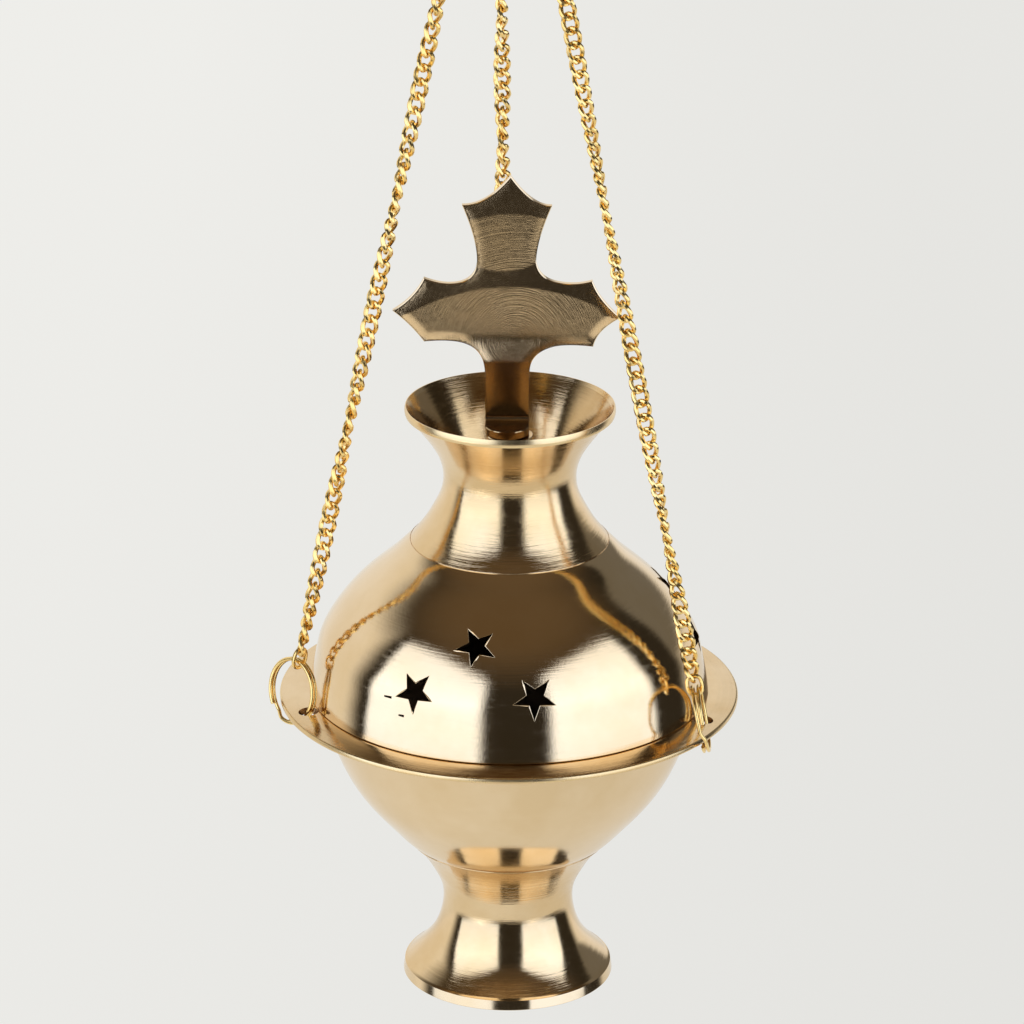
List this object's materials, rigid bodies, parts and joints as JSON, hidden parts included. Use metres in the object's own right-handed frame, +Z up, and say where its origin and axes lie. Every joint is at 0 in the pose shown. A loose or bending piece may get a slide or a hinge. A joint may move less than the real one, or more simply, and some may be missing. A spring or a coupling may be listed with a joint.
{
  "type": "hanging censer",
  "caption": "Brass hanging censer: footed bowl with a wide flange, star-pierced domed lid with a cross, and chains gathered on a ring",
  "frame": {"origin": "the hang point: the inside of the top of the upper ring, where a hook bears", "axes": "+Z up along the censer, -Y the front as in the picture, +X to the right"},
  "size_m": [0.1021, 0.1023, 0.2912],
  "materials": {
    "polished_brass": "spun and polished, slightly worn",
    "turned_brass": "cast and turned, fine lathe lines",
    "brushed_brass": "sawn plate, brushed",
    "chain_brass": "bright drawn wire"
  },
  "bodies": {
    "top_ring": {"top_ring": "chain_brass"},
    "top_links": {"top_link_left": "chain_brass", "top_link_right": "chain_brass", "top_link_back": "chain_brass"},
    "bowl": {"bowl": "polished_brass", "foot": "turned_brass"},
    "lid": {"lid_dome": "polished_brass", "neck": "turned_brass", "cross": "brushed_brass", "cross_pin": "brushed_brass"},
    "chain_left_lower": {"split_ring_left": "chain_brass", "end_link_left": "chain_brass", "chain_lower_left": "chain_brass"},
    "chain_left_upper": {"chain_upper_left": "chain_brass"},
    "chain_right_lower": {"split_ring_right": "chain_brass", "end_link_right": "chain_brass", "chain_lower_right": "chain_brass"},
    "chain_right_upper": {"chain_upper_right": "chain_brass"},
    "chain_back_lower": {"split_ring_back": "chain_brass", "end_link_back": "chain_brass", "chain_lower_back": "chain_brass"},
    "chain_back_upper": {"chain_upper_back": "chain_brass"}
  },
  "joints": [
    {"name": "swing_side", "type": "hinge", "parent": "top_ring", "child": "top_links", "pos_m": [0, 0, -0.0098], "axis": [0, 1, 0], "range_deg": [-35, 35]},
    {"name": "swing_front", "type": "hinge", "parent": "top_links", "child": "bowl", "pos_m": [0, 0.0001, -0.02173], "axis": [1, 0, 0], "range_deg": [-35, 35]},
    {"name": "lid_lift", "type": "slide", "parent": "bowl", "child": "lid", "axis": [0, 0, 1], "range_m": [0, 0.024]},
    {"name": "ring_swing_left", "type": "hinge", "parent": "bowl", "child": "chain_left_lower", "pos_m": [-0.04558, -0.01017, -0.2236], "axis": [0.6652, -0.7466, 0], "range_deg": [0, 7.4]},
    {"name": "chain_swing_left", "type": "hinge", "parent": "bowl", "child": "chain_left_upper", "pos_m": [-0.00401, -0.0001, -0.02156], "axis": [-0.6652, 0.7466, 0], "range_deg": [0, 2.49]},
    {"name": "ring_swing_right", "type": "hinge", "parent": "bowl", "child": "chain_right_lower", "pos_m": [0.04351, -0.0243, -0.2236], "axis": [0.0105, 0.9999, 0], "range_deg": [0, 7.4]},
    {"name": "chain_swing_right", "type": "hinge", "parent": "bowl", "child": "chain_right_upper", "pos_m": [0.00397, -0.00023, -0.02147], "axis": [-0.0105, -0.9999, 0], "range_deg": [0, 2.49]},
    {"name": "ring_swing_back", "type": "hinge", "parent": "bowl", "child": "chain_back_lower", "pos_m": [0.00048, 0.04834, -0.2236], "axis": [-0.8572, -0.515, 0], "range_deg": [0, 7.4]},
    {"name": "chain_swing_back", "type": "hinge", "parent": "bowl", "child": "chain_back_upper", "pos_m": [-0.00089, 0.00044, -0.022], "axis": [0.8572, 0.515, 0], "range_deg": [0, 2.49]}
  ],
  "couplings": [
    {"joint": "ring_swing_left", "follows": "lid_lift", "rad_per_m": 5.38},
    {"joint": "chain_swing_left", "follows": "lid_lift", "rad_per_m": 1.808},
    {"joint": "ring_swing_right", "follows": "lid_lift", "rad_per_m": 5.38},
    {"joint": "chain_swing_right", "follows": "lid_lift", "rad_per_m": 1.808},
    {"joint": "ring_swing_back", "follows": "lid_lift", "rad_per_m": 5.38},
    {"joint": "chain_swing_back", "follows": "lid_lift", "rad_per_m": 1.808}
  ]
}
